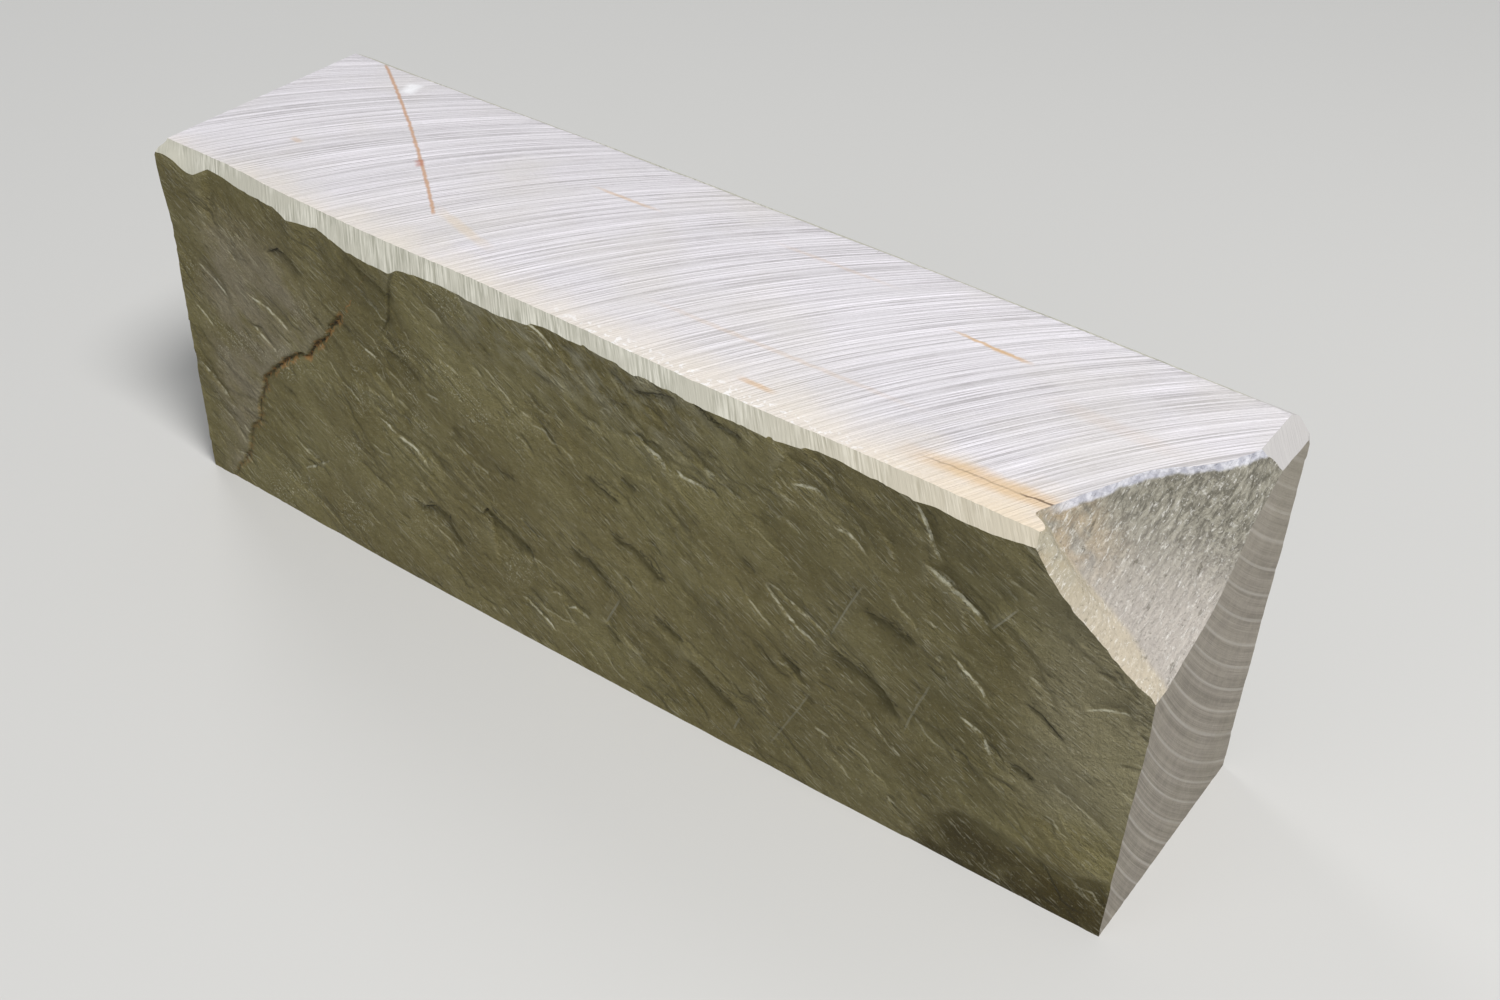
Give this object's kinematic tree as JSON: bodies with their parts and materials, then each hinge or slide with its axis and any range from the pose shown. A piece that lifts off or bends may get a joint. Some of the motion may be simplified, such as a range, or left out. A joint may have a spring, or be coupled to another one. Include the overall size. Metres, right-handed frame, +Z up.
{
  "type": "sharpening whetstone",
  "caption": "Long natural whetstone block standing on a narrow side, with sawn and split faces, ground edges and a broken upper corner.",
  "frame": {"origin": "under the middle of the bounding box, on the surface the stone stands on", "axes": "+X along the stone towards its broken corner, +Y from the split front face to the back face, +Z up"},
  "size_m": [0.2156, 0.0596, 0.073],
  "materials": {
    "stone": "matt, as split and as sawn"
  },
  "bodies": {
    "root": {"stone_block": "stone"}
  },
  "joints": []
}
